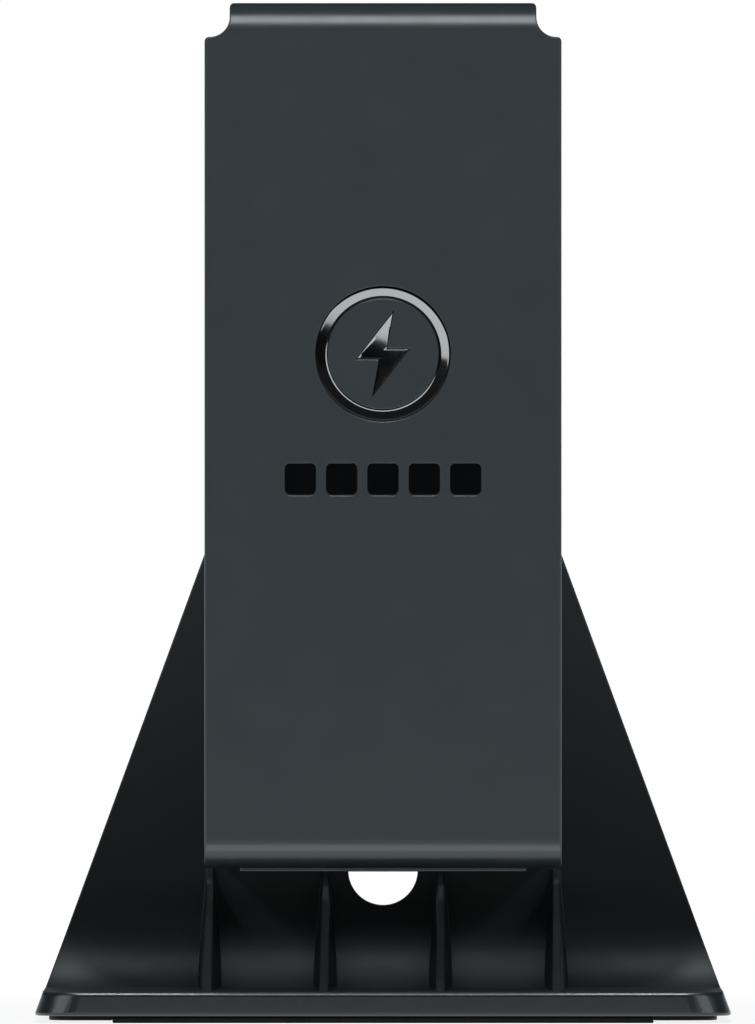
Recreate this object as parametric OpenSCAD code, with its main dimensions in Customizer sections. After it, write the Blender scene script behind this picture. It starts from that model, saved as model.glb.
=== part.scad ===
// Upright charging stand for four slide-on game controllers.
// A folded front cover and a triangular moulded stand hold two side frames between them.
// Each side frame carries two upright C-section rails with spring contacts at the foot.
// +X is to the right, +Y to the back and +Z up; the desk is the plane Z = 0.

/* [Tower] */
// Height of the whole stand above the desk
tower_h = 170; // [166:1:178]
// Width of the front cover
tower_w = 59.6; // [57:0.2:62]
// Depth from the front cover's face to the wall behind the tower
tower_d = 45; // [44:0.5:47]
// Height of the front cover's underside above the desk
tower_lift = 25.5; // [25:0.1:27]
// Thickness of the front cover
cover_t = 2.2; // [1.8:0.1:2.6]
// Outer radius of the bend at the cover's top
top_bend_r = 4.5; // [3.5:0.1:5.5]
// Outer radius of the bend at the cover's bottom
bottom_bend_r = 4.9; // [3.5:0.1:5.5]
// Length of the flange that returns under the tower behind the bottom bend
return_l = 3.6; // [2:0.1:5]
// Depth of each side channel, from the rail's seat to the cover's edge
channel_d = 4.2; // [4:0.05:4.8]
// Height of the notches at the cover's top corners
notch_h = 5.7; // [5:0.1:7]
// Radius of the hollow in each notch
notch_r = 3.3; // [2.5:0.1:3.8]
// Radius of the cover's small corners
corner_r = 0.8; // [0.4:0.1:1]
// Radius along the cover's upright front edges
edge_r = 0.5; // [0.3:0.1:0.8]

/* [Foot] */
// Width of the foot at its lower rim
foot_w = 116.2; // [112:0.5:124]
// Depth of the foot, and of the whole stand
foot_d = 69; // [68:0.5:75]
// Angle of the wall's sloping sides from upright, in degrees
side_slope = 20.1; // [18:0.1:22]
// Height of the deck above the desk
deck_h = 5.2; // [4.9:0.1:6.5]
// Gap between the rim and the desk
rim_gap = 1.2; // [1:0.1:1.6]
// Thickness of the foot's skin
skin_t = 2; // [1.8:0.1:2.2]
// Thickness of the triangular wall
wall_t = 3; // [2.6:0.1:3.6]
// Radius of the sweep between the deck and the wall
sweep_r = 14; // [12:0.5:16]
// Radius of the foot's front corners
foot_corner_r = 7; // [5:0.5:9]
// Radius along the deck's front edge
lip_r = 0.8; // [0.5:0.1:1.2]

/* [Ribs] */
// Number of ribs between the deck and the wall
rib_count = 4; // [2:2:4]
// Distance between neighbouring ribs
rib_pitch = 19.4; // [18:0.2:21]
// Thickness of a rib along its crest
rib_crest_t = 1.3; // [1:0.1:1.6]
// Draft of a rib's flanks, in degrees
rib_draft = 1.5; // [1:0.1:2]
// Length of a rib along the deck, measured from the wall
rib_reach = 60; // [50:1:62]
// Radius of the bend at the upper end of a crest
rib_bend_r = 3; // [2:0.5:5]
// Depth of a rib at its upper end
rib_top_d = 1.6; // [1:0.1:2]

/* [Lead hole] */
// Diameter of the hole that lets a lead through the wall
hole_d = 11.66; // [9:0.1:13]
// Distance of the hole's centre below the tower cap's underside
hole_drop = 0.2; // [0:0.1:2]

/* [Side frames] */
// Thickness of the side frames' walls
frame_t = 2.2; // [1.8:0.1:2.4]
// Gap between a frame's outer face and the cover's edge
frame_inset = 0.2; // [0.1:0.05:0.4]
// Height of the frames' foot above the desk
rail_foot_z = 57; // [54:0.5:60]

/* [Rails] */
// Width of a rail over its sides
rail_w = 12.4; // [12:0.1:12.6]
// Thickness of a rail's back and sides
rail_t = 1; // [0.8:0.1:1.1]
// Width of the mouth between a rail's lips
rail_mouth = 8.2; // [7.8:0.1:8.6]
// Thickness of a rail's lips
rail_lip_t = 1.1; // [0.9:0.1:1.3]
// Distance of the rails' upper ends below the notches
rail_drop = 0.9; // [0.5:0.1:2]
// Height of the flared lead-in at a rail's upper end
lead_in_h = 3; // [2:0.1:5]
// Width that the lead-in gains on each side
lead_in_flare = 0.8; // [0.4:0.1:0.8]
// Clearance on each side of a rail in its channel
rail_clear = 0.1; // [0.05:0.05:0.2]

/* [Contacts] */
// Clearance on each side of a contact block in the rail's mouth
block_clear = 0.2; // [0.1:0.05:0.3]
// Height of a contact block
block_h = 7; // [6:0.5:9]
// Distance of a block's face behind the cover's edge
block_inset = 1; // [0.8:0.1:1.2]
// Number of contacts in a block
pin_count = 10; // [8:1:10]
// Distance between neighbouring contacts
pin_pitch = 0.7; // [0.65:0.01:0.75]
// Width of a contact
pin_w = 0.35; // [0.25:0.05:0.4]
// Height by which a contact stands above its block
pin_rise = 1.4; // [1:0.1:2]

/* [Boards] */
// Thickness of the circuit boards
board_t = 1.2; // [1:0.1:1.6]
// Width of the main board
main_board_w = 30; // [28:1:32]
// Height of the main board
main_board_h = 88; // [80:1:92]
// Gap between the main board and the wall
main_board_gap = 5.9; // [5:0.1:7]
// Distance of a contact board's lower edge below the rails
side_board_drop = 4; // [2:0.5:6]
// Gap between a contact board and its side frame
side_board_gap = 1; // [0.8:0.1:1.2]
// Side of the square hub chip
hub_chip_w = 9; // [7:0.5:10]

/* [Tower cap] */
// Width of the cap that closes the tower's underside
cap_w = 47.8; // [46:0.1:48.4]
// Thickness of the cap
cap_t = 1.8; // [1.5:0.1:2]
// Drop of the cap below the cover's underside
cap_drop = 0.6; // [0.4:0.1:1]

/* [Fasteners] */
// Shank diameter of the long tower screws
tower_screw_d = 2.6; // [2.2:0.1:3]
// Height of the lower tower screws above the desk
tower_screw_low_z = 45; // [43:0.5:48]
// Distance of the upper tower screws below the tower's top
tower_screw_top_drop = 12; // [10:0.5:13]
// Shank diameter of the small screws
small_screw_d = 1.6; // [1.4:0.1:1.8]
// Shank diameter of the base screws
base_screw_d = 2.2; // [1.8:0.1:2.6]
// Distance of the base screws from the foot's sides
base_screw_side = 12; // [10:0.5:16]
// Distance of the base screws from the foot's front and back
base_screw_end = 14; // [13:0.5:18]

/* [Badge] */
// Outer diameter of the round badge
badge_d = 22.6; // [18:0.2:26]
// Width of the badge's ring
badge_ring_t = 2; // [1.5:0.1:3]
// Height of the badge's centre above the desk
badge_z = 111.4; // [105:0.5:120]
// Number of level bars under the badge
bar_count = 5; // [3:1:6]
// Distance between neighbouring bars
bar_pitch = 6.9; // [6.4:0.1:7.4]
// Width of a bar
bar_w = 5.2; // [4:0.1:5.8]
// Height of a bar
bar_h = 5.4; // [4:0.1:7]
// Radius of a bar's corners
bar_corner_r = 1; // [0.4:0.1:1.6]
// Height of the bars' centre above the desk
bar_z = 90.5; // [86:0.5:94]
// Depth of the pocket in which the badge and bars sit
inlay_pocket = 0.7; // [0.5:0.1:0.9]
// Distance of the inlays' faces behind the cover's face
inlay_sunk = 0.2; // [0.1:0.05:0.3]

/* [Base plate] */
// Thickness of the steel base plate
plate_t = 1.5; // [1.2:0.1:1.8]
// Clearance between the base plate and the rim
plate_clear = 0.1; // [0.05:0.05:0.3]
// Height of the base plate above the desk
plate_gap = 0.45; // [0.3:0.05:0.6]
// Distance of the front rubber strip's ends from the base plate's sides
front_strip_inset = 10.6; // [8:0.2:20]
// Distance of the rear rubber strip's ends from the base plate's sides
rear_strip_inset = 1.9; // [1:0.1:6]
// Distance of the rear rubber strip from the base plate's rear edge
rear_strip_back = 2; // [1:0.5:3]
// Width of the rubber strips
strip_w = 6; // [4:0.5:8]
// Depth of the pockets that hold the strips
strip_pocket = 0.5; // [0.3:0.1:0.7]

/* [Hidden] */
$fn = 64;

// Overlap of joined shapes, and overshoot of a cut past the surface it opens
eps = 0.01;
over = 1;

// Main planes
front_y = -foot_d / 2;
back_y = foot_d / 2;
wall_y = back_y - wall_t;
face_y = wall_y - tower_d;
inner_y = face_y + cover_t;
half_w = tower_w / 2;
core_x = half_w - channel_d;
panel_x = core_x - frame_t;
frame_x = half_w - frame_inset;
notch_z = tower_h - notch_h;
roof_z = tower_h - cover_t;
floor_z = tower_lift + cover_t;
cap_z0 = tower_lift - cap_drop;
cap_z1 = cap_z0 + cap_t;
hole_z = cap_z0 - hole_drop;

// Half of the front outline's width at a height, where the sides slope
function slope_half(z) = foot_w / 2 - (z - rim_gap) * tan(side_slope);
meet_z = rim_gap + (foot_w / 2 - half_w) / tan(side_slope);
skin_run = skin_t / cos(side_slope);

// Rails and the spine between them
channel_w = rail_w + 2 * rail_clear;
slot_w = rail_w - 2 * rail_t;
spine_y0 = inner_y + channel_w;
spine_y1 = wall_y - channel_w;
rail_y = [inner_y + channel_w / 2, wall_y - channel_w / 2];
rail_top_z = notch_z - rail_drop;
rail_l = rail_top_z - rail_foot_z;
rail_screw_up = 22;
rail_screw_down = 14;
rail_screw_z = [rail_foot_z + rail_screw_up, rail_top_z - rail_screw_down];
rail_pad_h = 2;
pad_r = 2.2;

// Contact blocks
window_clear = 0.1;
block_w = rail_mouth - 2 * block_clear;
block_z0 = rail_foot_z + 0.6;
block_face_x = half_w - block_inset;
pin_groove = 0.3;
pin_foot = 1;
pin_side_clear = 0.05;

// Screw heads
tower_boss_r = tower_screw_d / 2 + 1.5;
tower_head_r = tower_screw_d;
tower_head_h = 1.6;
tower_screw_l = 12;
tower_screw_x = (main_board_w / 2 + panel_x) / 2;
tower_screw_z = [tower_screw_low_z, tower_h - tower_screw_top_drop];
small_head_r = small_screw_d / 2 + 0.7;
rail_head_h = 0.6;
board_head_h = 0.9;
cap_head_h = 0.8;
tip_gap = 0.2;
cross_t = 0.5;

// Main board, upright in front of the wall
main_board_up = 3;
main_board_z0 = floor_z + main_board_up;
main_board_y1 = wall_y - main_board_gap;
main_board_y0 = main_board_y1 - board_t;
post_r = 2.4;
post_blind = 2;
post_x = main_board_w / 2 - 3;
post_up = 12;
post_down = 5;
post_z = [main_board_z0 + post_up, main_board_z0 + main_board_h - post_down];
hub_z = main_board_z0 + main_board_h / 2;
chip_t = 1.2;
charge_chip_w = 4;
charge_chip_off = 14;
coil_off = 23;
coil_r = 2.6;
coil_h = 3;
socket_w = 3.4;
socket_h = 9;
socket_t = 2.4;
socket_x = main_board_w / 2 - socket_w;

// Contact boards, upright inside the side frames
side_board_x1 = panel_x - side_board_gap;
side_board_x0 = side_board_x1 - board_t;
side_board_front = 6;
side_board_rear = 5;
side_board_y0 = rail_y[0] - side_board_front;
side_board_y1 = rail_y[1] + side_board_rear;
side_board_z0 = rail_foot_z - side_board_drop;
side_screw_up = 3;
side_board_over = 3.4;
side_screw_z = block_z0 + block_h + side_screw_up;
side_board_z1 = side_screw_z + side_board_over;
ribbon_t = 0.4;
ribbon_w = 7;
ribbon_stand_off = 1.6;

// Inlet and tower cap
inlet_w = 8.9;
inlet_t = 3.2;
inlet_l = 7.4;
inlet_z0 = cap_z0 + 0.3;
cap_y0 = face_y + bottom_bend_r + return_l + 0.1;
cap_screw_in = 5;
cap_screw_x = core_x - cap_screw_in;
cap_screw_front = 5;
cap_screw_rear = 6;
cap_screw_y = [cap_y0 + cap_screw_front, wall_y - cap_screw_rear];
ledge_w = 9;
ledge_x = core_x - ledge_w;

// Base plate and its screws
plate_z1 = plate_gap + plate_t;
plate_front = front_y + skin_t + plate_clear;
plate_back = back_y - skin_t - plate_clear;
plate_half = slope_half(plate_z1) - skin_run - plate_clear;
strip_rear_y = plate_back - rear_strip_back - strip_w;
front_strip_l = 2 * (plate_half - front_strip_inset);
rear_strip_l = 2 * (plate_half - rear_strip_inset);
base_boss_r = base_screw_d / 2 + 1.9;
base_screw_l = deck_h - plate_gap - 1;
base_sink_h = 0.9;

// Extrudes a (Y, Z) profile along X, centred on X = 0
module along_x(length) {
    rotate([90, 0, 90]) linear_extrude(length, center = true) children();
}

// Extrudes an (X, Z) outline along Y, from y0 to y1
module along_y(y0, y1) {
    translate([0, y1, 0]) rotate([90, 0, 0]) linear_extrude(y1 - y0) children();
}

module both_sides() {
    children();
    mirror([1, 0, 0]) children();
}

// Places its children for the left or the right side; they are drawn for the right
module on_side(left) {
    if (left) mirror([1, 0, 0]) children();
    else children();
}

module rounded_rect(w, h, r) {
    square([w - 2 * r, h], center = true);
    square([w, h - 2 * r], center = true);
    for (x = [-1, 1], y = [-1, 1]) translate([x * (w / 2 - r), y * (h / 2 - r)]) circle(r);
}

// Quarter ring in the quadrant that qx and qy point to
module bend(r, t, qx, qy) {
    intersection() {
        difference() {
            circle(r);
            circle(r - t);
        }
        translate([qx > 0 ? 0 : -r, qy > 0 ? 0 : -r]) square(r);
    }
}

// What the two top corners lose: an open corner with a hollow radius
module notch_cut() {
    both_sides() {
        translate([core_x + notch_r, notch_z]) square([channel_d, notch_h + over]);
        translate([core_x, notch_z + notch_r]) square([channel_d + over, notch_h + over]);
        translate([core_x + notch_r, notch_z + notch_r]) circle(notch_r);
    }
}

// The small square that a corner loses when it is rounded
module corner_cut(x, z, sx, sz, r) {
    difference() {
        translate([sx > 0 ? x - r : x - eps, sz > 0 ? z - r : z - eps]) square(r + eps);
        translate([x - sx * r, z - sz * r]) circle(r);
    }
}

// Front outline of the cover
module cover_outline() {
    difference() {
        translate([-half_w, tower_lift]) square([tower_w, tower_h - tower_lift]);
        notch_cut();
        both_sides() {
            corner_cut(half_w, notch_z, 1, 1, corner_r);
            corner_cut(core_x, tower_h, 1, 1, corner_r);
            corner_cut(half_w, tower_lift, 1, -1, corner_r);
        }
    }
}

// Side profile of the cover: roof, bend, front, bend and return flange
module cover_profile() {
    translate([face_y, tower_lift + bottom_bend_r])
        square([cover_t, tower_h - tower_lift - top_bend_r - bottom_bend_r]);
    translate([face_y + top_bend_r, tower_h - top_bend_r]) bend(top_bend_r, cover_t, -1, 1);
    translate([face_y + top_bend_r, roof_z]) square([back_y - face_y - top_bend_r, cover_t]);
    translate([face_y + bottom_bend_r, tower_lift + bottom_bend_r])
        bend(bottom_bend_r, cover_t, -1, -1);
    translate([face_y + bottom_bend_r, tower_lift]) square([return_l, cover_t]);
}

// Top view of the cover, with its upright front edges rounded
module cover_plan() {
    difference() {
        translate([-half_w, face_y]) square([tower_w, back_y - face_y]);
        both_sides() corner_cut(half_w, face_y, 1, -1, edge_r);
    }
}

// Long bosses behind the cover, which the tower screws bite into
module cover_bosses() {
    pilot_l = tower_screw_l + over;
    for (z = tower_screw_z) both_sides()
        translate([tower_screw_x, wall_y, z]) rotate([90, 0, 0]) difference() {
            cylinder(h = wall_y - inner_y + eps, r = tower_boss_r);
            translate([0, 0, -over]) cylinder(h = pilot_l + over, d = tower_screw_d);
        }
}

// Ring with a bolt in it; the bolt's points are shares of the badge's diameter
bolt_points = [[0.08, 0.32], [-0.2, -0.04], [-0.03, -0.04], [-0.08, -0.32], [0.2, 0.04], [0.03, 0.04]];
module badge_outline() {
    difference() {
        circle(d = badge_d);
        circle(d = badge_d - 2 * badge_ring_t);
    }
    polygon([for (p = bolt_points) p * badge_d]);
}

module bars_outline() {
    for (i = [0 : bar_count - 1]) translate([(i - (bar_count - 1) / 2) * bar_pitch, 0])
        rounded_rect(bar_w, bar_h, bar_corner_r);
}

module front_cover() {
    color("#34393e") difference() {
        union() {
            intersection() {
                along_x(tower_w + over) cover_profile();
                along_y(face_y - over, back_y + over) cover_outline();
                linear_extrude(tower_h) cover_plan();
            }
            cover_bosses();
        }
        along_y(face_y - over, face_y + inlay_pocket) {
            translate([0, badge_z]) badge_outline();
            translate([0, bar_z]) bars_outline();
        }
    }
}

module badge() {
    color("#0a0b0c") along_y(face_y + inlay_sunk, face_y + inlay_pocket)
        translate([0, badge_z]) badge_outline();
}

module level_bars() {
    color("#0a0b0c") along_y(face_y + inlay_sunk, face_y + inlay_pocket)
        translate([0, bar_z]) bars_outline();
}

// Side profile of the stand: deck with a rounded front edge, sweep and wall
module stand_profile() {
    translate([front_y + lip_r, rim_gap]) square([foot_d - lip_r, deck_h - rim_gap]);
    translate([front_y, rim_gap]) square([foot_d, deck_h - rim_gap - lip_r]);
    translate([front_y + lip_r, deck_h - lip_r]) circle(lip_r);
    translate([wall_y, rim_gap]) square([wall_t, roof_z - rim_gap]);
    difference() {
        translate([wall_y - sweep_r, deck_h - eps]) square([sweep_r + eps, sweep_r + eps]);
        translate([wall_y - sweep_r, deck_h + sweep_r]) circle(sweep_r);
    }
}

// Front outline of the stand: sloping sides, then upright sides with notches
module stand_outline() {
    difference() {
        polygon([[-slope_half(0), 0], [slope_half(0), 0], [half_w, meet_z], [half_w, roof_z],
                 [-half_w, roof_z], [-half_w, meet_z]]);
        notch_cut();
        both_sides() corner_cut(half_w, notch_z, 1, 1, corner_r);
    }
}

// Hollow under the deck and the sweep, bounded by the skin
module hollow_profile() {
    translate([front_y + skin_t, 0]) square([foot_d - 2 * skin_t, deck_h - skin_t]);
    difference() {
        translate([wall_y - sweep_r, deck_h - skin_t - eps])
            square([sweep_r + wall_t - skin_t, sweep_r]);
        translate([wall_y - sweep_r, deck_h + sweep_r]) circle(sweep_r + skin_t);
    }
}

module hollow_outline() {
    top_z = deck_h + sweep_r;
    polygon([[-slope_half(0) + skin_run, 0], [slope_half(0) - skin_run, 0],
             [slope_half(top_z) - skin_run, top_z], [-slope_half(top_z) + skin_run, top_z]]);
}

// What an upright front corner loses; it leans with the foot's sides.
// The cylinder crosses the flat sides at a slight angle, and so meets them in clean edges.
module foot_corner_cut(r, inset) {
    cut_h = 6 * deck_h;
    crossing = 0.03;
    translate([slope_half(0) - inset / cos(side_slope), front_y + inset, 0])
        rotate([0, -side_slope, 0]) difference() {
            translate([-r, -over, -cut_h / 2]) cube([r + over, r + over, cut_h]);
            translate([-r, r, -cut_h]) cylinder(h = 2 * cut_h, r = r + crossing);
        }
}

// A rib's crest climbs at a steady slope and ends in a bend, upright under the cap
rib_top_h = tower_lift - cap_drop - deck_h;
rib_run = rib_reach - rib_top_d - rib_bend_r;
rib_slope = atan2(rib_top_h, rib_run) - asin(rib_bend_r / norm([rib_run, rib_top_h]));
rib_sink = 0.4;
module rib_profile() {
    bend_y = -rib_top_d - rib_bend_r;
    steps = 8;
    arc = [for (i = [0 : steps]) let (a = rib_slope + (90 - rib_slope) * i / steps)
        [bend_y + rib_bend_r * sin(a), rib_top_h - rib_bend_r * cos(a)]];
    polygon(concat([[rib_sink, rib_top_h], [rib_sink, -rib_sink], [-rib_reach, -rib_sink],
                    [-rib_reach, 0]], arc));
}

// The fin grows out of the rib's sides a little behind the crest, towards the foot of the wall
fin_set_back = 1;
fin_inside = 0.02;
module rib_fin() {
    sink = 2 * rib_sink;
    run = rib_reach - fin_set_back;
    crest_half = rib_crest_t / 2 - fin_inside;
    foot_run = run + sink / tan(rib_slope);
    root_half = rib_crest_t / 2 + tan(rib_draft) * foot_run;
    top_h = (run + sink) * tan(rib_slope);
    polyhedron([[-crest_half, -foot_run, -sink], [crest_half, -foot_run, -sink],
                [-crest_half, sink, top_h], [crest_half, sink, top_h],
                [-root_half, sink, -sink], [root_half, sink, -sink]],
               [[2, 3, 1, 0], [4, 2, 0], [3, 5, 1], [1, 5, 4, 0], [4, 5, 3, 2]]);
}

module rib() {
    translate([0, wall_y, deck_h]) {
        along_x(rib_crest_t) rib_profile();
        rib_fin();
    }
}

// Posts on the wall that carry the main board
module board_posts() {
    for (z = post_z) both_sides() translate([post_x, wall_y + eps, z]) rotate([90, 0, 0])
        difference() {
            cylinder(h = main_board_gap + eps, r = post_r);
            translate([0, 0, post_blind]) cylinder(h = main_board_gap, d = small_screw_d);
        }
}

// Puts its children at each of the four base screws
module at_base_screws() {
    for (y = [front_y + base_screw_end, back_y - base_screw_end]) both_sides()
        translate([foot_w / 2 - base_screw_side, y, 0]) children();
}

// Counterbored holes for the tower screws, opening at the back
module tower_screw_holes() {
    head_clear = 0.2;
    for (z = tower_screw_z) both_sides() translate([tower_screw_x, back_y + over, z])
        rotate([90, 0, 0]) {
            cylinder(h = tower_head_h + over, r = tower_head_r + head_clear);
            cylinder(h = wall_t + 2 * over, d = tower_screw_d + 2 * head_clear);
        }
}

module stand_shell() {
    intersection() {
        along_x(foot_w + 2 * over) stand_profile();
        along_y(front_y - over, back_y + over) stand_outline();
    }
    for (i = [0 : rib_count - 1])
        translate([(i - (rib_count - 1) / 2) * rib_pitch, 0, 0]) rib();
}

module stand_hollow() {
    difference() {
        intersection() {
            along_x(foot_w) hollow_profile();
            along_y(front_y, back_y) hollow_outline();
        }
        both_sides() foot_corner_cut(foot_corner_r - skin_t, skin_t);
        at_base_screws() translate([0, 0, plate_z1]) cylinder(h = sweep_r + deck_h, r = base_boss_r);
    }
}

module stand() {
    color("#17191c") difference() {
        union() {
            difference() {
                stand_shell();
                both_sides() foot_corner_cut(foot_corner_r, 0);
                stand_hollow();
            }
            board_posts();
        }
        translate([0, wall_y - over, hole_z]) rotate([-90, 0, 0])
            cylinder(h = wall_t + 2 * over, d = hole_d);
        tower_screw_holes();
        at_base_screws() cylinder(h = plate_gap + base_screw_l, d = base_screw_d);
    }
}

// Steel plate that closes the foot, with pockets for the rubber strips
module base_plate() {
    color("#0c0d0e") difference() {
        translate([0, 0, plate_gap]) linear_extrude(plate_t) difference() {
            translate([-plate_half, plate_front]) square([2 * plate_half, plate_back - plate_front]);
            both_sides() corner_cut(plate_half, plate_front, 1, -1, foot_corner_r - skin_t);
        }
        translate([0, 0, plate_gap - over]) linear_extrude(strip_pocket + over) {
            translate([-front_strip_l / 2, plate_front - over])
                square([front_strip_l, strip_w + over]);
            translate([-rear_strip_l / 2, strip_rear_y]) square([rear_strip_l, strip_w]);
        }
        at_base_screws() base_screw_shape(base_screw_l);
    }
}

module foot_strip(length, y) {
    color("#1c1c1d") translate([-length / 2, y, 0])
        cube([length, strip_w, plate_gap + strip_pocket]);
}

// Cross recess in a screw head whose face lies in the plane Z = z and looks down
module cross_slot(w, depth, z) {
    for (a = [0, 90]) rotate([0, 0, a]) translate([-w / 2, -cross_t / 2, z - over])
        cube([w, cross_t, depth + over]);
}

// Countersunk screw standing head down in the base plate
module base_screw_shape(length) {
    translate([0, 0, plate_gap]) {
        cylinder(h = base_sink_h, r1 = base_screw_d, r2 = base_screw_d / 2);
        cylinder(h = length, d = base_screw_d);
    }
}

module base_screws() {
    color("#5a5d60") at_base_screws() difference() {
        base_screw_shape(base_screw_l - tip_gap);
        cross_slot(base_screw_d, base_sink_h * 2 / 3, plate_gap);
    }
}

module tower_screws() {
    head_gap = 0.1;
    head_h = tower_head_h - head_gap;
    color("#5a5d60") for (z = tower_screw_z) both_sides()
        translate([tower_screw_x, back_y - tower_head_h, z]) rotate([90, 0, 0]) difference() {
            union() {
                cylinder(h = tower_screw_l, d = tower_screw_d);
                translate([0, 0, -head_h]) cylinder(h = head_h, r = tower_head_r);
            }
            cross_slot(tower_head_r + cross_t, head_h * 0.6, -head_h);
        }
}

// Room inside the cover in side view, rounded where the cover is bent
module cavity_profile() {
    difference() {
        translate([inner_y, floor_z]) square([wall_y - inner_y, roof_z - floor_z]);
        corner_cut(inner_y, roof_z, -1, 1, top_bend_r - cover_t);
        corner_cut(inner_y, floor_z, -1, -1, bottom_bend_r - cover_t);
    }
}

// Side frame, drawn for the right: panel, spine between the rails, foot and ledge
module frame_outer() {
    depth = wall_y - inner_y;
    translate([panel_x, inner_y, floor_z]) cube([frame_t, depth, roof_z - floor_z]);
    translate([core_x - eps, spine_y0, rail_foot_z - eps])
        cube([frame_x - core_x + eps, spine_y1 - spine_y0, rail_l + eps]);
    translate([core_x - eps, inner_y, floor_z])
        cube([frame_x - core_x + eps, depth, rail_foot_z - floor_z]);
    translate([ledge_x, inner_y, floor_z]) cube([core_x - ledge_x, depth, frame_t]);
}

// The foot and the spine are hollow from the inside
module frame_hollow() {
    hollow_x = panel_x - over;
    hollow_w = frame_x - frame_t - hollow_x;
    foot_top = rail_foot_z - frame_t;
    translate([hollow_x, inner_y + frame_t, floor_z + frame_t])
        cube([hollow_w, wall_y - inner_y - 2 * frame_t, foot_top - floor_z - frame_t]);
    translate([hollow_x, spine_y0 + frame_t, foot_top - eps])
        cube([hollow_w, spine_y1 - spine_y0 - 2 * frame_t, rail_l + eps]);
}

// Pads on the inside, which the board's and the rails' screws bite into
module frame_pads() {
    for (y = rail_y) {
        translate([side_board_x1, y, side_screw_z]) rotate([0, 90, 0])
            cylinder(h = side_board_gap + eps, r = pad_r);
        for (z = rail_screw_z) translate([panel_x - rail_pad_h, y, z]) rotate([0, 90, 0])
            cylinder(h = rail_pad_h + eps, r = pad_r);
    }
}

// Pilot holes for the screws of the rails, the contact board and the cap
module frame_pilots() {
    side_pilot_l = side_board_gap + frame_t - 2 * tip_gap;
    for (y = rail_y) {
        for (z = rail_screw_z) translate([core_x + over, y, z]) rotate([0, -90, 0])
            cylinder(h = frame_t + rail_pad_h + 2 * over, d = small_screw_d);
        translate([side_board_x1 - over, y, side_screw_z]) rotate([0, 90, 0])
            cylinder(h = side_pilot_l + over, d = small_screw_d);
    }
    for (y = cap_screw_y) translate([cap_screw_x, y, floor_z - over])
        cylinder(h = frame_t + 2 * over, d = small_screw_d);
}

// Window through a wall of thickness t at x, for a contact block
module block_window(x, t, y) {
    translate([x - over, y - block_w / 2 - window_clear, block_z0 - window_clear])
        cube([t + 2 * over, block_w + 2 * window_clear, block_h + 2 * window_clear]);
}

module side_frame(left) {
    color("#1d2023") on_side(left) difference() {
        union() {
            difference() {
                intersection() {
                    frame_outer();
                    along_x(tower_w) cavity_profile();
                }
                frame_hollow();
            }
            frame_pads();
        }
        for (y = rail_y) block_window(panel_x, frame_t, y);
        frame_pilots();
    }
}

// C-section rail, drawn for the right side
module rail(left, y) {
    slot_x = core_x + rail_t;
    flare_half = rail_mouth / 2 + lead_in_flare;
    color("#101113") on_side(left) difference() {
        translate([core_x, y - rail_w / 2, rail_foot_z]) cube([channel_d, rail_w, rail_l]);
        translate([slot_x, y - slot_w / 2, rail_foot_z - over])
            cube([channel_d - rail_t - rail_lip_t, slot_w, rail_l + 2 * over]);
        translate([slot_x, y - rail_mouth / 2, rail_foot_z - over])
            cube([channel_d, rail_mouth, rail_l + 2 * over]);
        translate([slot_x, y, rail_top_z]) rotate([90, 0, 90]) linear_extrude(channel_d)
            polygon([[-flare_half, eps], [flare_half, eps],
                     [rail_mouth / 2, -lead_in_h], [-rail_mouth / 2, -lead_in_h]]);
        block_window(core_x, rail_t, y);
        for (z = rail_screw_z) translate([slot_x - rail_head_h, y, z]) rotate([0, 90, 0]) {
            cylinder(h = rail_head_h + over, r = small_head_r);
            translate([0, 0, -rail_t - over]) cylinder(h = rail_t + 2 * over, d = small_screw_d);
        }
    }
}

module rail_screws() {
    color("#6d7175") for (y = rail_y, z = rail_screw_z) both_sides()
        translate([core_x + rail_t, y, z]) rotate([0, -90, 0]) difference() {
            union() {
                cylinder(h = rail_t + frame_t + rail_pad_h, d = small_screw_d);
                cylinder(h = rail_head_h, r = small_head_r);
            }
            cross_slot(small_head_r + tip_gap, rail_head_h / 2, 0);
        }
}

// Contacts of one block, standing in grooves; clear widens them to cut the grooves
module block_pins(y, clear) {
    width = pin_w + 2 * clear;
    depth = pin_groove + (clear > 0 ? over : 0);
    for (i = [0 : pin_count - 1])
        translate([block_face_x - pin_groove, y + (i - (pin_count - 1) / 2) * pin_pitch - width / 2,
                   block_z0 + pin_foot])
            cube([depth, width, block_h - pin_foot + pin_rise]);
}

// Contact block, which passes through the rail and the frame to its board
module contact_block(left, y) {
    color("#0d0e0f") on_side(left) difference() {
        translate([side_board_x1, y - block_w / 2, block_z0])
            cube([block_face_x - side_board_x1, block_w, block_h]);
        block_pins(y, pin_side_clear);
    }
}

module contacts(left, y) {
    color("#c9a24a") on_side(left) block_pins(y, 0);
}

module contact_board(left) {
    color("#14532d") on_side(left) difference() {
        translate([side_board_x0, side_board_y0, side_board_z0])
            cube([board_t, side_board_y1 - side_board_y0, side_board_z1 - side_board_z0]);
        for (y = rail_y) translate([side_board_x0 - over, y, side_screw_z]) rotate([0, 90, 0])
            cylinder(h = board_t + 2 * over, d = small_screw_d);
    }
}

module main_board() {
    color("#14532d") difference() {
        translate([-main_board_w / 2, main_board_y0, main_board_z0])
            cube([main_board_w, board_t, main_board_h]);
        for (z = post_z) both_sides() translate([post_x, main_board_y0 - over, z])
            rotate([-90, 0, 0]) cylinder(h = board_t + 2 * over, d = small_screw_d);
    }
}

// Box on the main board's front face, centred on x and z
module on_board(x, z, w, h, t) {
    translate([x - w / 2, main_board_y0 - t, z - h / 2]) cube([w, t, h]);
}

module hub_chip() {
    color("#191a1b") on_board(0, hub_z, hub_chip_w, hub_chip_w, chip_t);
}

module charge_chips() {
    color("#191a1b") for (dz = [-charge_chip_off, charge_chip_off]) both_sides()
        on_board(main_board_w / 4, hub_z + dz, charge_chip_w, charge_chip_w, chip_t);
}

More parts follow.
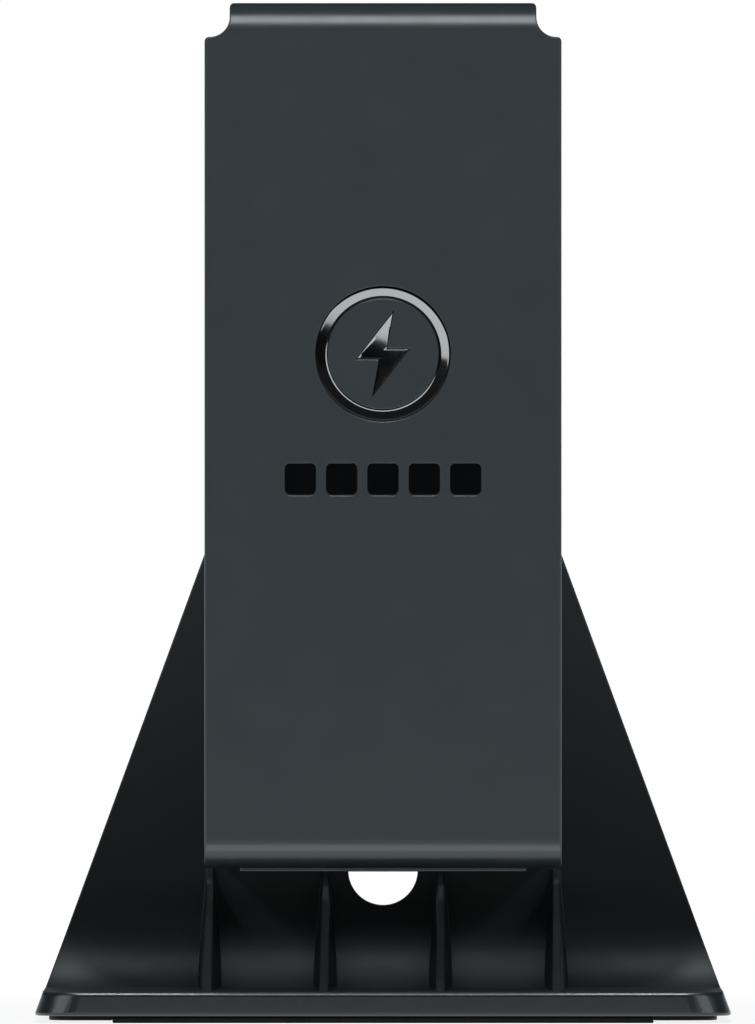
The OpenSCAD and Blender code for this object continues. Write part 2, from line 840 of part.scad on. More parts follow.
module power_coils() {
    color("#3b3d40") for (dz = [-coil_off, coil_off]) both_sides()
        translate([main_board_w / 4, main_board_y0, hub_z + dz]) rotate([90, 0, 0])
            cylinder(h = coil_h, r = coil_r);
}

module ribbon_sockets() {
    color("#d8d6cc") both_sides() on_board(socket_x + socket_w / 2, hub_z, socket_w, socket_h, socket_t);
}

// Flat ribbon from a socket down to the contact board, as one bent strip
module ribbon(left) {
    ribbon_y = main_board_y0 - socket_t - ribbon_t;
    bend_x = side_board_x0 - ribbon_stand_off;
    low_z = block_z0 + block_h / 2;
    high_z = hub_z + ribbon_w / 2;
    color("#c7c3b5") on_side(left) {
        translate([socket_x, ribbon_y, high_z - ribbon_w])
            cube([bend_x - socket_x + ribbon_t, ribbon_t, ribbon_w]);
        translate([bend_x, ribbon_y, low_z]) cube([ribbon_t, ribbon_w, high_z - low_z]);
        translate([bend_x, ribbon_y, low_z]) cube([ribbon_stand_off, ribbon_w, ribbon_t]);
    }
}

module inlet_round(w, t) {
    square([w - t, t], center = true);
    both_sides() translate([(w - t) / 2, 0]) circle(d = t);
}

// Inlet on the lower edge of the main board, open downwards
module usb_inlet() {
    shell_t = 0.35;
    tongue_w = 6;
    tongue_t = 0.7;
    tongue_gap = 0.6;
    color("#9fa3a6") translate([0, main_board_y0 - inlet_t / 2, inlet_z0]) {
        difference() {
            linear_extrude(inlet_l) inlet_round(inlet_w, inlet_t);
            translate([0, 0, -shell_t]) linear_extrude(inlet_l)
                inlet_round(inlet_w - 2 * shell_t, inlet_t - 2 * shell_t);
        }
        translate([-tongue_w / 2, -tongue_t / 2, tongue_gap])
            cube([tongue_w, tongue_t, inlet_l - shell_t - tongue_gap + eps]);
    }
}

// Cap under the tower, with a slot for the inlet and an upstand over the lead hole
module tower_cap() {
    slot_clear = 0.2;
    upstand_t = 1.8;
    upstand_lap = 1;
    upstand_w = hole_d + 2 * upstand_lap;
    upstand_h = hole_z + hole_d / 2 + upstand_lap - cap_z1;
    color("#1d2023") difference() {
        union() {
            translate([-cap_w / 2, cap_y0, cap_z0]) cube([cap_w, wall_y - cap_y0, cap_t]);
            translate([-upstand_w / 2, wall_y - upstand_t, cap_z1 - eps])
                cube([upstand_w, upstand_t, upstand_h + eps]);
            at_cap_screws(cap_z1 - eps) cylinder(h = floor_z - cap_z1 + eps, r = post_r);
        }
        translate([0, main_board_y0 - inlet_t / 2, cap_z0 - over])
            linear_extrude(cap_t + 2 * over)
                inlet_round(inlet_w + 2 * slot_clear, inlet_t + 2 * slot_clear);
        at_cap_screws(cap_z0 - over) {
            cylinder(h = cap_head_h + over, r = small_head_r);
            cylinder(h = floor_z - cap_z0 + 2 * over, d = small_screw_d);
        }
    }
}

module at_cap_screws(z) {
    for (y = cap_screw_y) both_sides() translate([cap_screw_x, y, z]) children();
}

module cap_screws() {
    color("#5a5d60") at_cap_screws(cap_z0) difference() {
        union() {
            cylinder(h = floor_z + frame_t - cap_z0 - tip_gap, d = small_screw_d);
            cylinder(h = cap_head_h, r = small_head_r);
        }
        cross_slot(small_head_r + tip_gap, cap_head_h / 2, 0);
    }
}

// A board screw, with its head behind the origin and its shank along +Z
module board_screw(length) {
    cylinder(h = length, d = small_screw_d);
    translate([0, 0, -board_head_h]) cylinder(h = board_head_h, r = small_head_r);
}

module board_screws() {
    color("#6d7175") both_sides() {
        for (z = post_z) translate([post_x, main_board_y0, z]) rotate([-90, 0, 0])
            board_screw(board_t + main_board_gap - post_blind - tip_gap);
        for (y = rail_y) translate([side_board_x0, y, side_screw_z]) rotate([0, 90, 0])
            board_screw(board_t + side_board_gap + frame_t - 3 * tip_gap);
    }
}

stand();
front_cover();
side_frame(true);  // left_side_frame
side_frame(false);  // right_side_frame
rail(true, rail_y[0]);  // front_left_rail
rail(false, rail_y[0]);  // front_right_rail
rail(true, rail_y[1]);  // rear_left_rail
rail(false, rail_y[1]);  // rear_right_rail
contact_block(true, rail_y[0]);  // front_left_contact_block
contact_block(false, rail_y[0]);  // front_right_contact_block
contact_block(true, rail_y[1]);  // rear_left_contact_block
contact_block(false, rail_y[1]);  // rear_right_contact_block
contacts(true, rail_y[0]);  // front_left_contacts
contacts(false, rail_y[0]);  // front_right_contacts
contacts(true, rail_y[1]);  // rear_left_contacts
contacts(false, rail_y[1]);  // rear_right_contacts
contact_board(true);  // left_contact_board
contact_board(false);  // right_contact_board
main_board();
hub_chip();
charge_chips();
power_coils();
ribbon_sockets();
ribbon(true);  // left_ribbon
ribbon(false);  // right_ribbon
usb_inlet();
tower_cap();
badge();
level_bars();
base_plate();
foot_strip(front_strip_l, plate_front);  // front_foot_strip
foot_strip(rear_strip_l, strip_rear_y);  // rear_foot_strip
tower_screws();
rail_screws();
board_screws();
cap_screws();
base_screws();
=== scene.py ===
"""Looks of an upright charging stand for slide-on game controllers.

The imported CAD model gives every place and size, in metres: +X right, +Y to the back, +Z up.
Each node either keeps its mesh and gets a finish, or is replaced by a softened copy of it with
rounded edges and smooth bends. The foot is also rounded at its front corners, and the badge is
crowned.
"""

import math

import bmesh
import bpy
import numpy as np
from mathutils import Matrix, Vector


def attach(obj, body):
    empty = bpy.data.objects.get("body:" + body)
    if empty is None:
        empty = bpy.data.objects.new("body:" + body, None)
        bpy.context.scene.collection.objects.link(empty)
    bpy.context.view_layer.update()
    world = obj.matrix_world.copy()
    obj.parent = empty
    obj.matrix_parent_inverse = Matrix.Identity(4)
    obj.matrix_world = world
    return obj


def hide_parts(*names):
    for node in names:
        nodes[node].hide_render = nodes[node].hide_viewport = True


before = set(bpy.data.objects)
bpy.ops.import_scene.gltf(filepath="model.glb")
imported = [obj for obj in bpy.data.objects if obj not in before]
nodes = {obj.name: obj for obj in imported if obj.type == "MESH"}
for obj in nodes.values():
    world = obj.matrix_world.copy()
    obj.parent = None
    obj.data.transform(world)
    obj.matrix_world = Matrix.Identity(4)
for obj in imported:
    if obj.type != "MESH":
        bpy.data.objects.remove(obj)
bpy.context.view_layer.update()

MM = 0.001
WHITE = (1, 1, 1, 1)
COOL = (0.94, 1.0, 1.03)

# The photograph's height and scale, and how it was taken: a long lens, straight on and level.
PHOTO_H = 1024
PX_PER_MM = 5.978
CAMERA_AWAY = 5.5
AIM = (-0.92 * MM, 0.0, 85.0 * MM)
SENSOR = 36.0

# How a moulded plastic varies: its blobs of colour and of gloss, in mm, and how far its gloss drifts.
COLOUR_BLOB_MM = 24
GLOSS_BLOB_MM = 7
GLOSS_DRIFT = 0.03


def linear(hex_colour):
    """An sRGB hex colour as linear RGBA: c / 12.92 below 0.04045, else ((c + 0.055) / 1.055) ** 2.4."""
    values = [int(hex_colour[i : i + 2], 16) / 255 for i in (1, 3, 5)]
    return (*(c / 12.92 if c <= 0.04045 else ((c + 0.055) / 1.055) ** 2.4 for c in values), 1.0)


def shade(hex_colour, by):
    """The same colour, lighter or darker by a factor in linear light."""
    return (*(min(1.0, c * by) for c in linear(hex_colour)[:3]), 1.0)


def add(tree, kind, inputs=None, **settings):
    """Adds a shader node. Inputs are named or numbered; each is a plain value or another node's output."""
    node = tree.nodes.new("ShaderNode" + kind)
    for name, value in settings.items():
        setattr(node, name, value)
    for key, value in (inputs or {}).items():
        if isinstance(value, bpy.types.NodeSocket):
            tree.links.new(value, node.inputs[key])
        else:
            node.inputs[key].default_value = value
    return node


def blank(name):
    """An empty material and its node tree."""
    material = bpy.data.materials.new(name)
    material.use_nodes = True
    material.node_tree.nodes.clear()
    return material, material.node_tree


def place(tree):
    """Where a point lies on the object, in metres."""
    return add(tree, "TexCoord").outputs["Object"]


def noise(tree, at, size_mm, detail=2.0, stretch=None):
    """Noise whose blobs are about size_mm across, stretched by a factor per axis where asked."""
    if stretch:
        at = add(tree, "Mapping", {"Vector": at, "Scale": stretch}).outputs[0]
    return add(tree, "TexNoise", {"Vector": at, "Scale": 1000 / size_mm, "Detail": detail}).outputs["Fac"]


def between(tree, factor, low, high):
    """A number that runs from low to high as factor runs from 0.3 to 0.7, the usual reach of noise."""
    return add(tree, "MapRange", {0: factor, 1: 0.3, 2: 0.7, 3: low, 4: high}).outputs[0]


def tint(tree, factor, first, second):
    """A colour between first and second."""
    return add(tree, "Mix", {0: factor, 6: first, 7: second}, data_type="RGBA").outputs[2]


def bump(tree, height, depth_mm, strength=1.0, under=None):
    """Relief of depth_mm, laid over another relief where one is given."""
    inputs = {"Height": height, "Distance": depth_mm * MM, "Strength": strength}
    if under:
        inputs["Normal"] = under
    return add(tree, "Bump", inputs).outputs[0]


def surface(tree, **inputs):
    """The Principled shader and the output; keyword names use _ for a space."""
    shader = add(tree, "BsdfPrincipled", {k.replace("_", " "): v for k, v in inputs.items()})
    add(tree, "OutputMaterial", {"Surface": shader.outputs[0]})


def textured_plastic(name, colour, roughness, grain_mm, grain_depth_mm, mottle=0.04, ior=1.54, specular=0.5):
    """Moulded plastic from a spark-eroded tool: even colour, a fine grain, and gloss that drifts a little.

    The real grain is under 0.1 mm; it is drawn coarser here, so that it shows.
    """
    material, tree = blank(name)
    at = place(tree)
    drift = between(tree, noise(tree, at, COLOUR_BLOB_MM, 3), 0, 1)
    gloss = noise(tree, at, GLOSS_BLOB_MM, 4)
    grain = noise(tree, at, grain_mm, 3)
    surface(
        tree,
        Base_Color=tint(tree, drift, shade(colour, 1 - mottle), shade(colour, 1 + mottle)),
        Roughness=between(tree, gloss, roughness - GLOSS_DRIFT, roughness + GLOSS_DRIFT),
        IOR=ior,
        Specular_IOR_Level=specular,
        Normal=bump(tree, grain, grain_depth_mm, 0.6),
    )
    return material


def stand_plastic():
    """Charcoal ABS of the wall, the ribs and the foot, matt from a coarse tool face."""
    return textured_plastic("ABS charcoal, matt moulded", "#101315", 0.5, 0.3, 0.006, specular=0.2)


def lit_lip_plastic():
    """The same ABS on the foot's lip, satin, with a lighter slate grey base colour: painted light for the light
    the lip catches and the shaded wall above it does not.
    """
    return textured_plastic("ABS slate, satin lip", "#1b262c", 0.3, 0.25, 0.004, specular=0.65)


def lit_crest_plastic():
    """The same ABS on the ribs' crests, painted lighter graphite grey: painted light on the faces that look up
    towards the lamps.
    """
    return textured_plastic("ABS graphite, worn crest", "#1f2123", 0.42, 0.25, 0.004, specular=0.25)


def cover_plastic():
    """Slate ABS of the folded cover, satin from a fine spark finish."""
    return textured_plastic("ABS slate, satin moulded", "#31383b", 0.32, 0.25, 0.004, 0.03)


def frame_plastic():
    """Black ABS of the inner housing, matt."""
    return textured_plastic("ABS black, matt moulded", "#1b1d20", 0.5, 0.3, 0.01)


def rail_plastic():
    """Black acetal of the rails: slippery, so almost smooth, with faint drag marks along the slot."""
    material, tree = blank("acetal black, smooth moulded")
    at = place(tree)
    drag = noise(tree, at, 0.5, 2, (1, 1, 0.02))
    surface(
        tree,
        Base_Color=tint(tree, noise(tree, at, 18, 2), linear("#101113"), linear("#15171a")),
        Roughness=between(tree, drag, 0.3, 0.42),
        IOR=1.48,
        Normal=bump(tree, drag, 0.01, 0.35),
    )
    return material


def gloss_black():
    """Polished black acrylic of the inlays: a deep mirror with the faintest ripple of its moulding."""
    material, tree = blank("acrylic black, polished")
    at = place(tree)
    surface(
        tree,
        Base_Color=tint(tree, noise(tree, at, 9, 2), linear("#050607"), linear("#090a0c")),
        Roughness=between(tree, noise(tree, at, 3, 3), 0.03, 0.05),
        IOR=1.49,
        Normal=bump(tree, noise(tree, at, 7, 1), 0.0015, 0.5),
    )
    return material


def plated(name, colour, second, roughness, along=None, scratch_mm=0.4, depth_mm=0.004):
    """Bare or plated metal: rolled or turned marks in its gloss, and a faint stain in its colour."""
    material, tree = blank(name)
    at = place(tree)
    marks = noise(tree, at, scratch_mm, 3, along)
    surface(
        tree,
        Base_Color=tint(tree, between(tree, noise(tree, at, 4, 3), 0, 1), linear(colour), linear(second)),
        Metallic=1.0,
        Roughness=between(tree, marks, roughness - 0.06, roughness + 0.08),
        Normal=bump(tree, marks, depth_mm, 0.4),
    )
    return material


def circuit_board():
    """Glass-epoxy board under green solder mask: the copper tracks stand up a little and show paler."""
    material, tree = blank("glass epoxy, green solder mask")
    at = place(tree)
    turned = add(tree, "Mapping", {"Vector": at, "Rotation": (math.pi / 2, 0, 0)}).outputs[0]
    tracks = add(
        tree,
        "TexBrick",
        {"Vector": turned, "Scale": 1000 / 3.2, "Mortar Size": 0.06, "Brick Width": 1.7, "Row Height": 0.42},
        offset=0.37,
        squash=0.7,
        squash_frequency=3,
    ).outputs["Fac"]
    mask = tint(tree, noise(tree, at, 6, 2), linear("#0e4a2a"), linear("#125433"))
    surface(
        tree,
        Base_Color=tint(tree, tracks, mask, linear("#2c7a48")),
        Roughness=between(tree, noise(tree, at, 1.2, 2), 0.26, 0.38),
        IOR=1.52,
        Normal=bump(tree, tracks, 0.03, 0.5),
    )
    return material


def chip_black():
    """Epoxy moulding compound: flat black with pale filler specks."""
    material, tree = blank("epoxy moulding compound, black")
    at = place(tree)
    specks = add(tree, "MapRange", {0: noise(tree, at, 0.18, 2), 1: 0.62, 2: 0.7}).outputs[0]
    surface(
        tree,
        Base_Color=tint(tree, specks, linear("#17181a"), linear("#2b2c2e")),
        Roughness=0.62,
        IOR=1.55,
        Normal=bump(tree, specks, 0.01, 0.4),
    )
    return material


def ferrite():
    """Pressed ferrite powder: dark grey, dry, and pitted like unglazed pottery."""
    material, tree = blank("ferrite, pressed powder")
    at = place(tree)
    pits = noise(tree, at, 0.35, 5)
    surface(
        tree,
        Base_Color=tint(tree, between(tree, pits, 0, 1), linear("#33363a"), linear("#43464a")),
        Roughness=0.72,
        IOR=2.2,
        Normal=bump(tree, pits, 0.03, 0.7),
    )
    return material


def ribbon_film():
    """Flat ribbon of polyester film: pale, glossy, with its conductors showing as stripes along it."""
    material, tree = blank("polyester film, conductors inside")
    at = place(tree)
    stripes = add(
        tree, "TexWave", {"Vector": at, "Scale": 1000 / 12.0, "Distortion": 0.0}, bands_direction="Z"
    ).outputs["Fac"]
    surface(
        tree,
        Base_Color=tint(tree, stripes, linear("#d8d2c2"), linear("#8f8a7c")),
        Roughness=0.3,
        IOR=1.6,
        Normal=bump(tree, stripes, 0.04, 0.4),
    )
    return material


def powder_coat():
    """Black powder coat on sheet steel: a soft orange peel over a low sheen."""
    material, tree = blank("steel, black powder coat")
    at = place(tree)
    peel = noise(tree, at, 0.9, 2)
    surface(
        tree,
        Base_Color=tint(tree, noise(tree, at, 15, 2), linear("#0c0d0e"), linear("#101112")),
        Roughness=between(tree, peel, 0.45, 0.55),
        IOR=1.52,
        Specular_IOR_Level=0.2,
        Normal=bump(tree, peel, 0.03, 0.4),
    )
    return material


def foot_rubber():
    """Moulded black rubber: no shine, a skin of tiny grains, and a grey bloom on top of it."""
    material, tree = blank("rubber, moulded")
    at = place(tree)
    bloom = between(tree, noise(tree, at, 5, 4), 0, 1)
    surface(
        tree,
        Base_Color=tint(tree, bloom, linear("#161617"), linear("#212122")),
        Roughness=0.85,
        IOR=1.5,
        Normal=bump(tree, noise(tree, at, 0.4, 3), 0.03, 0.6),
    )
    return material


finishes = {
    "stand_plastic": stand_plastic(),
    "cover_plastic": cover_plastic(),
    "frame_plastic": frame_plastic(),
    "rail_plastic": rail_plastic(),
    "gloss_black": gloss_black(),
    # Gold over nickel on spring bronze: warm and bright, with fine marks where plugs wipe along it.
    "contact_gold": plated("gold plated bronze", "#e2b85a", "#c99c45", 0.24, (1, 1, 0.1), 0.2),
    "circuit_board": circuit_board(),
    "chip_black": chip_black(),
    "ferrite": ferrite(),
    # White nylon of the ribbon sockets.
    "socket_white": textured_plastic("nylon white, moulded", "#dcd9cf", 0.45, 0.3, 0.01, 0.03, 1.53),
    "ribbon_film": ribbon_film(),
    # Tin plated steel shell of the inlet, rolled along its mouth.
    "inlet_steel": plated("steel, tin plated", "#b4b7b8", "#9da1a3", 0.3, (0.1, 1, 1)),
    "base_steel": powder_coat(),
    "foot_rubber": foot_rubber(),
    # Black zinc on steel screws: dark, with the turned rings of their heads.
    "screw_steel": plated("steel, black zinc", "#4a4b4d", "#5c5d5f", 0.34, None, 0.25),
}
# The lighter colours of the lip and of the ribs' crests are painted light: these faces catch light that the wall
# does not.
lip_painted_light, crest_painted_light = lit_lip_plastic(), lit_crest_plastic()

# How far each softened node's hard edges are rounded over, in mm.
EDGE_MM = {
    "front_cover": 0.22,
    "stand": 0.25,
    "left_side_frame": 0.2,
    "right_side_frame": 0.2,
    "front_left_rail": 0.12,
    "front_right_rail": 0.12,
    "rear_left_rail": 0.12,
    "rear_right_rail": 0.12,
    "tower_cap": 0.2,
    "badge": 0.12,
    "level_bars": 0.12,
    "base_plate": 0.2,
    "front_foot_strip": 0.25,
    "rear_foot_strip": 0.25,
    "usb_inlet": 0.08,
    "tower_screws": 0.12,
    "base_screws": 0.1,
}

# Bends under the first angle are shaded smooth, edges over the second are rounded, and faces whose bend is
# under the third are merged into one flat.
SMOOTH_UNDER = math.radians(32)
HARD_OVER = math.radians(50)
FLAT_UNDER = math.radians(0.4)
MERGE_DIST = 0.001 * MM
SLIVER_DIST = 0.06 * MM

# The foot: its deck, rim and front edge, half its width at the rim, the lean of its sides, and its corners.
DECK_Z = 5.2 * MM
RIM_Z = 1.2 * MM
FRONT_Y = -34.5 * MM
FOOT_HALF = 58.1 * MM
SIDE_SLOPE = math.radians(20.1)
FOOT_CORNER = 7.0 * MM
# The radii of the lip and of the rim's lower edge, and the turn over which the lip's radius fades out.
LIP_R = 0.8 * MM
RIM_R = 0.6 * MM
LIP_FADE = math.radians(25)
CUT_MERGE = 0.004 * MM
# Where painted light goes on the stand: the lip's depth, and the ribs with their crests' reach up and back.
LIP_DEEP = 0.85 * MM
RIBS_X = [x * MM for x in (-29.1, -9.7, 9.7, 29.1)]
RIB_HALF = 0.75 * MM
CREST_TOP_Z = 25 * MM
CREST_BACK_Y = 31.4 * MM


def foot_inward(x, y, z):
    """How far a point lies inside the foot's outline at its own height, and the way inwards as (x, y). The
    outline's sides lean inwards with height, and its front corners are quarter circles on the leaning side."""
    lean = math.cos(SIDE_SLOPE)
    half = FOOT_HALF - (z - RIM_Z) * math.tan(SIDE_SLOPE)
    sign = math.copysign(1, x)
    u = (abs(x) - half) * lean + FOOT_CORNER
    v = FRONT_Y + FOOT_CORNER - y
    if u > 0 and v > 0:
        r = math.hypot(u, v)
        return FOOT_CORNER - r, (-sign * u / r / lean, v / r), math.atan2(u, v)
    if u > v:
        return FOOT_CORNER - u, (-sign / lean, 0), math.pi
    return FOOT_CORNER - v, (0, 1), 0.0


def round_foot(work):
    """Carries the lip's radius round the foot's front corners, where it fades out towards the sides, and
    rounds the rim's lower edge: a point nearer to the outline than r - sqrt(r ** 2 - h ** 2), h being how far
    it has gone into the rounding, moves inwards until it is as far."""
    steps = np.radians(np.arange(0, 90, 15))
    cuts = [*(DECK_Z - LIP_R + LIP_R * np.sin(steps)), *(RIM_Z + RIM_R - RIM_R * np.sin(steps))]
    for z in cuts:
        everything = work.verts[:] + work.edges[:] + work.faces[:]
        bmesh.ops.bisect_plane(work, geom=everything, plane_co=(0, 0, z), plane_no=(0, 0, 1), dist=CUT_MERGE)
    for vert in work.verts:
        x, y, z = vert.co
        if z > DECK_Z + 0.01 * MM or z < RIM_Z - 0.01 * MM:
            continue
        inward, (to_x, to_y), turn = foot_inward(x, y, z)
        lip_r = 0.0
        if 0 < turn < math.pi / 2:
            lip_r = LIP_R * min(1.0, max(0.0, (math.pi / 2 - turn) / LIP_FADE))
        need = 0.0
        for r, into in ((lip_r, z - DECK_Z + lip_r), (RIM_R, RIM_Z + RIM_R - z)):
            if r > 0 and into > 0:
                need = max(need, r - math.sqrt(max(0.0, r * r - into * into)))
        if inward < need - 0.005 * MM:
            vert.co.x += to_x * (need - inward)
            vert.co.y += to_y * (need - inward)


def softened(name, edge_mm=0.1):
    """A copy of a node with its loose triangles joined, its flats merged, its bends shaded smooth and its
    hard edges rounded over by a Bevel modifier."""
    source = nodes[name].data
    points = np.empty(len(source.vertices) * 3)
    source.vertices.foreach_get("co", points)
    faces = np.empty(len(source.loops), int)
    source.loops.foreach_get("vertex_index", faces)
    mesh = bpy.data.meshes.new(name + "_finished")
    mesh.from_pydata(points.reshape(-1, 3).tolist(), [], faces.reshape(-1, 3).tolist())
    work = bmesh.new()
    work.from_mesh(mesh)
    bmesh.ops.remove_doubles(work, verts=work.verts, dist=MERGE_DIST)
    bmesh.ops.dissolve_degenerate(work, edges=work.edges, dist=SLIVER_DIST)
    bmesh.ops.dissolve_limit(
        work, angle_limit=FLAT_UNDER, use_dissolve_boundaries=False, verts=work.verts, edges=work.edges
    )
    if name == "stand":
        round_foot(work)
    work.to_mesh(mesh)
    work.free()
    mesh.shade_smooth()
    mesh.set_sharp_from_angle(angle=SMOOTH_UNDER)
    piece = bpy.data.objects.new(name + "_finished", mesh)
    bpy.context.scene.collection.objects.link(piece)
    edge = piece.modifiers.new("rounded edges", "BEVEL")
    edge.width = edge_mm * MM
    edge.segments = 3
    edge.limit_method = "ANGLE"
    edge.angle_limit = HARD_OVER
    edge.harden_normals = True
    edge.use_clamp_overlap = False
    edge.loop_slide = False
    flats = piece.modifiers.new("flat faces lead", "WEIGHTED_NORMAL")
    flats.keep_sharp = True
    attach(piece, "root")
    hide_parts(name)
    return piece


def finish_of(name):
    """The finish that the record gives a node."""
    return nodes[name].data.materials[0].name if nodes[name].data.materials else ""


shown = {}
for name, node in nodes.items():
    slot = next((s for s in finishes if finish_of(name).startswith(s)), None)
    shown[name] = node
    if name in EDGE_MM:
        piece = softened(name, EDGE_MM[name])
        # The tower cap takes the cover's lighter slate plastic in place of the finish its record gives: painted
        # light for the bright line along its lower edge.
        piece.data.materials.append(finishes["cover_plastic" if name == "tower_cap" else slot])
        shown[name] = piece
    else:
        for holder in node.material_slots:
            holder.material = finishes[slot]


def paint_stand(piece):
    """Gives the lip round the foot and the ribs' crests lighter copies of the stand's plastic, face by face, as
    painted light: the lip is what lies within LIP_DEEP of the foot's rounded outline, and a crest is what faces
    up on a rib."""
    mesh = piece.data
    mesh.materials.append(lip_painted_light)
    mesh.materials.append(crest_painted_light)
    count = len(mesh.polygons)
    middle = np.empty(count * 3)
    facing = np.empty(count * 3)
    mesh.polygons.foreach_get("center", middle)
    mesh.polygons.foreach_get("normal", facing)
    x, y, z = middle.reshape(-1, 3).T
    nx, ny, nz = facing.reshape(-1, 3).T
    half = FOOT_HALF - (z - RIM_Z) * math.tan(SIDE_SLOPE)
    inward_x = half - np.abs(x)
    inward_y = y - FRONT_Y
    corner = (inward_x < FOOT_CORNER) & (inward_y < FOOT_CORNER)
    round_in = FOOT_CORNER - np.hypot(FOOT_CORNER - inward_x, FOOT_CORNER - inward_y)
    inward = np.where(corner, round_in, np.minimum(inward_x, inward_y))
    # Painted light: the lip round the foot gets a lighter copy of the stand's plastic.
    lip = (z < DECK_Z + 0.05 * MM) & (z > RIM_Z + 0.05 * MM) & (inward < LIP_DEEP)
    # Painted light: the rib faces that look up get a lighter copy of the stand's plastic.
    on_rib = np.min([np.abs(x - rib_x) for rib_x in RIBS_X], axis=0) < RIB_HALF
    faces_up = (np.abs(nx) < 0.2) & (nz > 0.05)
    crest = on_rib & faces_up & (z > DECK_Z + 0.1 * MM) & (z < CREST_TOP_Z) & (y < CREST_BACK_Y)
    mesh.polygons.foreach_set("material_index", (lip + 2 * crest).astype(np.int32))


paint_stand(shown["stand"])

# The badge: the height of its middle, its ring's two radii, its front and back, and the depth of its crown.
BADGE_Z = 111.4 * MM
BADGE_RADIUS = 11.3 * MM
BADGE_INNER = 9.3 * MM
BADGE_FRONT, BADGE_BACK = -13.3 * MM, -12.8 * MM
BADGE_SAG = 0.2 * MM


def crown(r):
    """How far the crowned face lies behind its middle at a distance r: sag * (r / badge radius) ** 2."""
    return BADGE_SAG * (r / BADGE_RADIUS) ** 2


def ring_grid(around=144, across=6):
    """Points and faces of the badge's ring, as (around, profile) rows: a closed profile of radius and depth,
    with quarter circles at its two front edges and the crowned face between them, turned about the Y axis
    through the badge's middle."""
    e = EDGE_MM["badge"] * MM
    turn = np.radians([0, 30, 60, 90])
    face = np.linspace(BADGE_RADIUS - e, BADGE_INNER + e, across)[1:-1]
    radius = np.concatenate(
        [
            [BADGE_RADIUS],
            BADGE_RADIUS - e + e * np.cos(turn),
            face,
            BADGE_INNER + e - e * np.sin(turn),
            [BADGE_INNER],
        ]
    )
    depth = np.concatenate(
        [
            [BADGE_BACK],
            BADGE_FRONT + e - e * np.sin(turn),
            np.full(face.shape, BADGE_FRONT),
            BADGE_FRONT + e - e * np.cos(turn),
            [BADGE_BACK],
        ]
    )
    depth[1:-1] += crown(radius[1:-1])
    angle = np.linspace(0, 2 * math.pi, around, endpoint=False)[:, None]
    depth = np.broadcast_to(depth, (around, radius.size))
    points = np.stack([radius * np.cos(angle), depth, BADGE_Z + radius * np.sin(angle)], -1)
    row, col = np.meshgrid(np.arange(around), np.arange(radius.size), indexing="ij")
    index = row * radius.size + col
    on = np.roll(index, -1, 0)
    faces = np.stack([index, np.roll(index, -1, 1), np.roll(on, -1, 1), on], -1)
    return points.reshape(-1, 3), faces.reshape(-1, 4)


def crown_badge(piece, step=0.6 * MM):
    """Crowns the badge like a shallow lens. The ring is made anew; the bolt has its edges rounded, is cut along
    a square net, so that it can bend, and then moves back by what crown() gives, and less towards its back."""
    mesh = piece.data
    work = bmesh.new()
    work.from_mesh(mesh)
    ring = [v for v in work.verts if math.hypot(v.co.x, v.co.z - BADGE_Z) > BADGE_INNER - 0.5 * MM]
    bmesh.ops.delete(work, geom=ring, context="VERTS")
    hard = [edge for edge in work.edges if edge.calc_face_angle(0) > HARD_OVER]
    bmesh.ops.bevel(
        work, geom=hard, offset=EDGE_MM["badge"] * MM, segments=3, profile=0.5, affect="EDGES", loop_slide=False
    )
    for axis, middle in ((0, 0.0), (2, BADGE_Z)):
        normal = [0, 0, 0]
        normal[axis] = 1
        for cut in np.arange(-BADGE_INNER + step / 2, BADGE_INNER, step):
            at = [0, 0, 0]
            at[axis] = middle + cut
            everything = work.verts[:] + work.edges[:] + work.faces[:]
            bmesh.ops.bisect_plane(work, geom=everything, plane_co=at, plane_no=normal, dist=0.002 * MM)
    for vert in work.verts:
        share = (BADGE_BACK - vert.co.y) / (BADGE_BACK - BADGE_FRONT)
        vert.co.y += crown(math.hypot(vert.co.x, vert.co.z - BADGE_Z)) * share
    points, faces = ring_grid()
    corners = [work.verts.new(point) for point in points]
    ring = [work.faces.new([corners[i] for i in face]) for face in faces]
    bmesh.ops.recalc_face_normals(work, faces=ring)
    work.to_mesh(mesh)
    work.free()
    mesh.shade_smooth()
    mesh.set_sharp_from_angle(angle=SMOOTH_UNDER)
    piece.modifiers.remove(piece.modifiers["rounded edges"])


crown_badge(shown["badge"])


# The soft lights stand this far from the point that they look at.
LAMPS_AWAY = 0.9
LIT_POINT = Vector((0, 0, 0.08))


def softbox(name, elevation, azimuth, width, height, radiance):
    """A soft light that looks at LIT_POINT from elevation and azimuth, in degrees: azimuth 0 is the camera's
    side, 90 is the right, and an elevation over 90 is behind the top."""
    e, a = math.radians(elevation), math.radians(azimuth)
    back = Vector((math.sin(a) * math.cos(e), -math.cos(a) * math.cos(e), math.sin(e)))
    return lamp_at(name, back * LAMPS_AWAY + LIT_POINT, back, width, height, radiance)


def lamp_at(name, where, back, width, height, radiance, turn=0.0):
    """A rectangle of light at a place, its dark back towards back, turned in its own plane. It has one radiance
    all over: its power is pi times area times radiance."""
    data = bpy.data.lights.new(name, "AREA")
    data.shape = "RECTANGLE"
    data.size, data.size_y = width, height
    data.energy = math.pi * width * height * radiance
    data.color = COOL
    lamp = bpy.data.objects.new(name, data)
    bpy.context.scene.collection.objects.link(lamp)
    lamp.location = where
    lamp.rotation_euler = (back.to_track_quat("Z", "Y").to_matrix() @ Matrix.Rotation(turn, 3, "Z")).to_euler()
    lamp.visible_camera = False
    return lamp


def group(name, pieces, include):
    """A collection that a light takes as the list of what it lights, leaves out or is shaded by."""
    kept = bpy.data.collections.new(name)
    for piece in pieces:
        kept.objects.link(piece)
    for item in kept.collection_objects:
        item.light_linking.link_state = "INCLUDE" if include else "EXCLUDE"
    return kept


